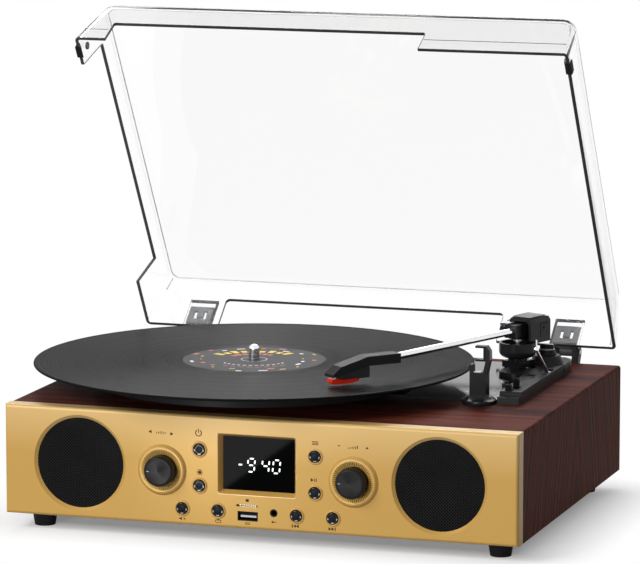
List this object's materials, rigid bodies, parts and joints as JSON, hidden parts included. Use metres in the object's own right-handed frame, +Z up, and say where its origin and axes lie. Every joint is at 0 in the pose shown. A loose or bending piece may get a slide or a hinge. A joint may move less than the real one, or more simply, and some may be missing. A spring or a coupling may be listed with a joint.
{
  "type": "stereo music centre",
  "caption": "Desk music centre: belt-driven record player with tonearm and hinged clear lid on a wooden cabinet, with a front panel of two speakers, a display, knobs and buttons.",
  "frame": {"origin": "middle of the whole object's footprint at rest, with the lid open and the record overhanging, on the floor under the feet", "axes": "+X to the right of someone facing the front panel, +Y to the back, +Z up along the spindle"},
  "size_m": [0.371, 0.3361, 0.339],
  "materials": {
    "rosewood": "satin",
    "fibreboard": "matte",
    "foot_rubber": "matte",
    "gold_panel": "satin",
    "black_mesh": "satin",
    "speaker_black": "matte",
    "display_glass": "gloss",
    "display_metal": "satin",
    "circuit_board": "satin",
    "steel": "satin",
    "knob_grey": "brushed",
    "button_brown": "gloss",
    "matt_black": "satin",
    "chrome": "polished",
    "gloss_black": "gloss",
    "brass": "satin",
    "belt_rubber": "matte",
    "felt": "matte",
    "vinyl": "gloss",
    "grey_black": "satin",
    "cartridge_grey": "satin",
    "stylus_red": "gloss",
    "clear_lid": "gloss",
    "hinge_grey": "satin"
  },
  "bodies": {
    "casing": {"cabinet": "rosewood", "base_board": "fibreboard", "feet": "foot_rubber", "front_panel": "gold_panel", "grille_left": "black_mesh", "grille_right": "black_mesh", "speaker_left": "speaker_black", "speaker_right": "speaker_black", "display_window": "display_glass", "display_board": "display_metal", "control_board": "circuit_board", "tune_encoder": "steel", "volume_control": "steel", "usb_port": "steel", "card_socket": "steel", "aux_jack": "matt_black", "amplifier_board": "circuit_board", "rear_plate": "matt_black", "dc_inlet": "matt_black", "rca_jacks": "chrome", "deck_plate": "gloss_black", "motor": "steel", "drive_belt": "belt_rubber", "bearing_bush": "brass", "arm_base": "grey_black", "pivot_tower": "matt_black", "arm_rest": "matt_black", "rest_clip": "gloss_black", "hinge_bases": "matt_black", "hinge_pins": "steel"},
    "platter_body": {"platter": "matt_black", "slip_mat": "felt", "record": "vinyl", "spindle": "chrome"},
    "pulley_body": {"motor_pulley": "brass"},
    "lid_body": {"lid": "clear_lid", "lid_bumpers": "foot_rubber", "hinge_leaves": "hinge_grey"},
    "arm_swing_body": {"arm_housing": "matt_black"},
    "arm_tilt_body": {"arm_block": "matt_black", "arm_tube": "chrome", "headshell": "matt_black", "cartridge": "cartridge_grey", "stylus": "stylus_red", "counterweight": "steel"},
    "lever_body": {"cue_lever": "chrome"},
    "lift_body": {"lift_pin": "steel"},
    "tune_body": {"tune_knob": "knob_grey"},
    "volume_body": {"volume_knob": "knob_grey"},
    "stop_body": {"auto_stop_lever": "gloss_black"},
    "speed_body": {"speed_lever": "gloss_black"},
    "skate_body": {"skate_knob": "matt_black"},
    "power_button_body": {"power_button": "button_brown"},
    "record_button_body": {"record_button": "button_brown"},
    "mode_button_body": {"mode_button": "button_brown"},
    "repeat_button_body": {"repeat_button": "button_brown"},
    "mute_button_body": {"mute_button": "button_brown"},
    "play_button_body": {"play_button": "button_brown"},
    "previous_button_body": {"previous_button": "button_brown"},
    "next_button_body": {"next_button": "button_brown"}
  },
  "joints": [
    {"name": "platter_spin", "type": "hinge", "parent": "casing", "child": "platter_body", "pos_m": [-0.0347, -0.01725, 0.0859], "axis": [0, 0, -1], "continuous": true},
    {"name": "pulley_spin", "type": "hinge", "parent": "casing", "child": "pulley_body", "pos_m": [-0.0767, 0.05549, 0.0859], "axis": [0, 0, -1], "continuous": true},
    {"name": "lid_hinge", "type": "hinge", "parent": "casing", "child": "lid_body", "pos_m": [0.0071, 0.14285, 0.0926], "axis": [1, 0, 0], "range_deg": [0, 57.7]},
    {"name": "arm_swing", "type": "hinge", "parent": "casing", "child": "arm_swing_body", "pos_m": [0.1291, 0.06693, 0.0859], "axis": [0, 0, 1], "range_deg": [-19.8, 22.2]},
    {"name": "arm_tilt", "type": "hinge", "parent": "arm_swing_body", "child": "arm_tilt_body", "pos_m": [0.13473, 0.08137, 0.1191], "axis": [-0.9317, 0.3633, 0], "range_deg": [0, 0.85]},
    {"name": "cue_lever_turn", "type": "hinge", "parent": "casing", "child": "lever_body", "pos_m": [0.1545, 0.05543, 0.0911], "axis": [-1, 0, 0], "range_deg": [0, 100]},
    {"name": "lift_slide", "type": "slide", "parent": "casing", "child": "lift_body", "axis": [0, 0, 1], "range_m": [0, 0.0015]},
    {"name": "tune_turn", "type": "hinge", "parent": "casing", "child": "tune_body", "pos_m": [-0.0594, -0.13455, 0.0478], "axis": [0, 1, 0], "continuous": true},
    {"name": "volume_turn", "type": "hinge", "parent": "casing", "child": "volume_body", "pos_m": [0.0736, -0.13455, 0.0478], "axis": [0, 1, 0], "range_deg": [-60, 240]},
    {"name": "power_button_press", "type": "slide", "parent": "casing", "child": "power_button_body", "axis": [0, 1, 0], "range_m": [0, 0.0008], "stiffness_N_per_m": 400},
    {"name": "record_button_press", "type": "slide", "parent": "casing", "child": "record_button_body", "axis": [0, 1, 0], "range_m": [0, 0.0008], "stiffness_N_per_m": 400},
    {"name": "mode_button_press", "type": "slide", "parent": "casing", "child": "mode_button_body", "axis": [0, 1, 0], "range_m": [0, 0.0008], "stiffness_N_per_m": 400},
    {"name": "repeat_button_press", "type": "slide", "parent": "casing", "child": "repeat_button_body", "axis": [0, 1, 0], "range_m": [0, 0.0008], "stiffness_N_per_m": 400},
    {"name": "mute_button_press", "type": "slide", "parent": "casing", "child": "mute_button_body", "axis": [0, 1, 0], "range_m": [0, 0.0008], "stiffness_N_per_m": 400},
    {"name": "play_button_press", "type": "slide", "parent": "casing", "child": "play_button_body", "axis": [0, 1, 0], "range_m": [0, 0.0008], "stiffness_N_per_m": 400},
    {"name": "previous_button_press", "type": "slide", "parent": "casing", "child": "previous_button_body", "axis": [0, 1, 0], "range_m": [0, 0.0008], "stiffness_N_per_m": 400},
    {"name": "next_button_press", "type": "slide", "parent": "casing", "child": "next_button_body", "axis": [0, 1, 0], "range_m": [0, 0.0008], "stiffness_N_per_m": 400},
    {"name": "auto_stop_slide", "type": "slide", "parent": "casing", "child": "stop_body", "axis": [0, 1, 0], "range_m": [0, 0.005]},
    {"name": "speed_slide", "type": "slide", "parent": "casing", "child": "speed_body", "axis": [0, 1, 0], "range_m": [-0.003, 0.003]},
    {"name": "skate_turn", "type": "hinge", "parent": "casing", "child": "skate_body", "pos_m": [0.1451, 0.08493, 0.0859], "axis": [0, 0, 1], "range_deg": [-90, 90]}
  ],
  "couplings": [
    {"joint": "pulley_spin", "follows": "platter_spin", "ratio": 10.809},
    {"joint": "arm_tilt", "follows": "lift_slide", "rad_per_m": 9.774},
    {"joint": "cue_lever_turn", "follows": "lift_slide", "rad_per_m": 1163.5}
  ]
}
